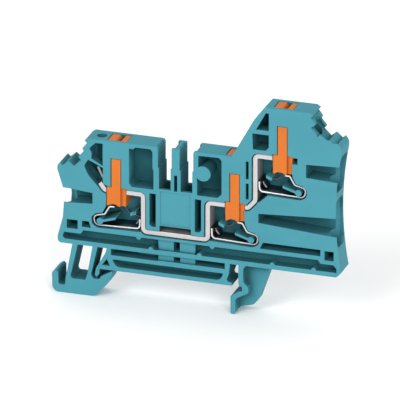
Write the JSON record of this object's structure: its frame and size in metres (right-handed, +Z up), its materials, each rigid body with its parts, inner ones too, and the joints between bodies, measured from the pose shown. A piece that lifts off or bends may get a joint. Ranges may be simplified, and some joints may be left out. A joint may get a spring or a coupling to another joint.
{
  "type": "feed-through terminal block",
  "caption": "Slim rail-mounted terminal block, open on one side, with push buttons, clamp springs and a bent current bar that carries one circuit through.",
  "frame": {"origin": "middle of the rail seat: the plane that lies on top of a 35 mm rail, half way between the rail's edges and half way through the block's thickness", "axes": "+X along the block towards the tall tower, +Y through its thickness towards the closed side, so the open side faces -Y, and +Z up from the rail"},
  "size_m": [0.0715, 0.006, 0.0534],
  "materials": {
    "housing_plastic": "fine matt moulded polyamide",
    "button_plastic": "smooth moulded",
    "bar_metal": "bright tin plate on a bent strip",
    "spring_metal": "bright rolled spring strip"
  },
  "bodies": {
    "housing": {"housing": "housing_plastic", "current_bar": "bar_metal", "spring_left": "spring_metal", "spring_middle": "spring_metal", "spring_right": "spring_metal"},
    "button_left": {"button_left": "button_plastic"},
    "button_middle": {"button_middle": "button_plastic"},
    "button_right": {"button_right": "button_plastic"}
  },
  "joints": [
    {"name": "press_left", "type": "slide", "parent": "housing", "child": "button_left", "axis": [0, 0, -1], "range_m": [0, 0.0018], "stiffness_N_per_m": 300, "springref_m": -0.0005, "deforming": ["spring_left"]},
    {"name": "press_middle", "type": "slide", "parent": "housing", "child": "button_middle", "axis": [0, 0, -1], "range_m": [0, 0.0018], "stiffness_N_per_m": 300, "springref_m": -0.0005, "deforming": ["spring_middle"]},
    {"name": "press_right", "type": "slide", "parent": "housing", "child": "button_right", "axis": [0, 0, -1], "range_m": [0, 0.0018], "stiffness_N_per_m": 300, "springref_m": -0.0005, "deforming": ["spring_right"]}
  ]
}
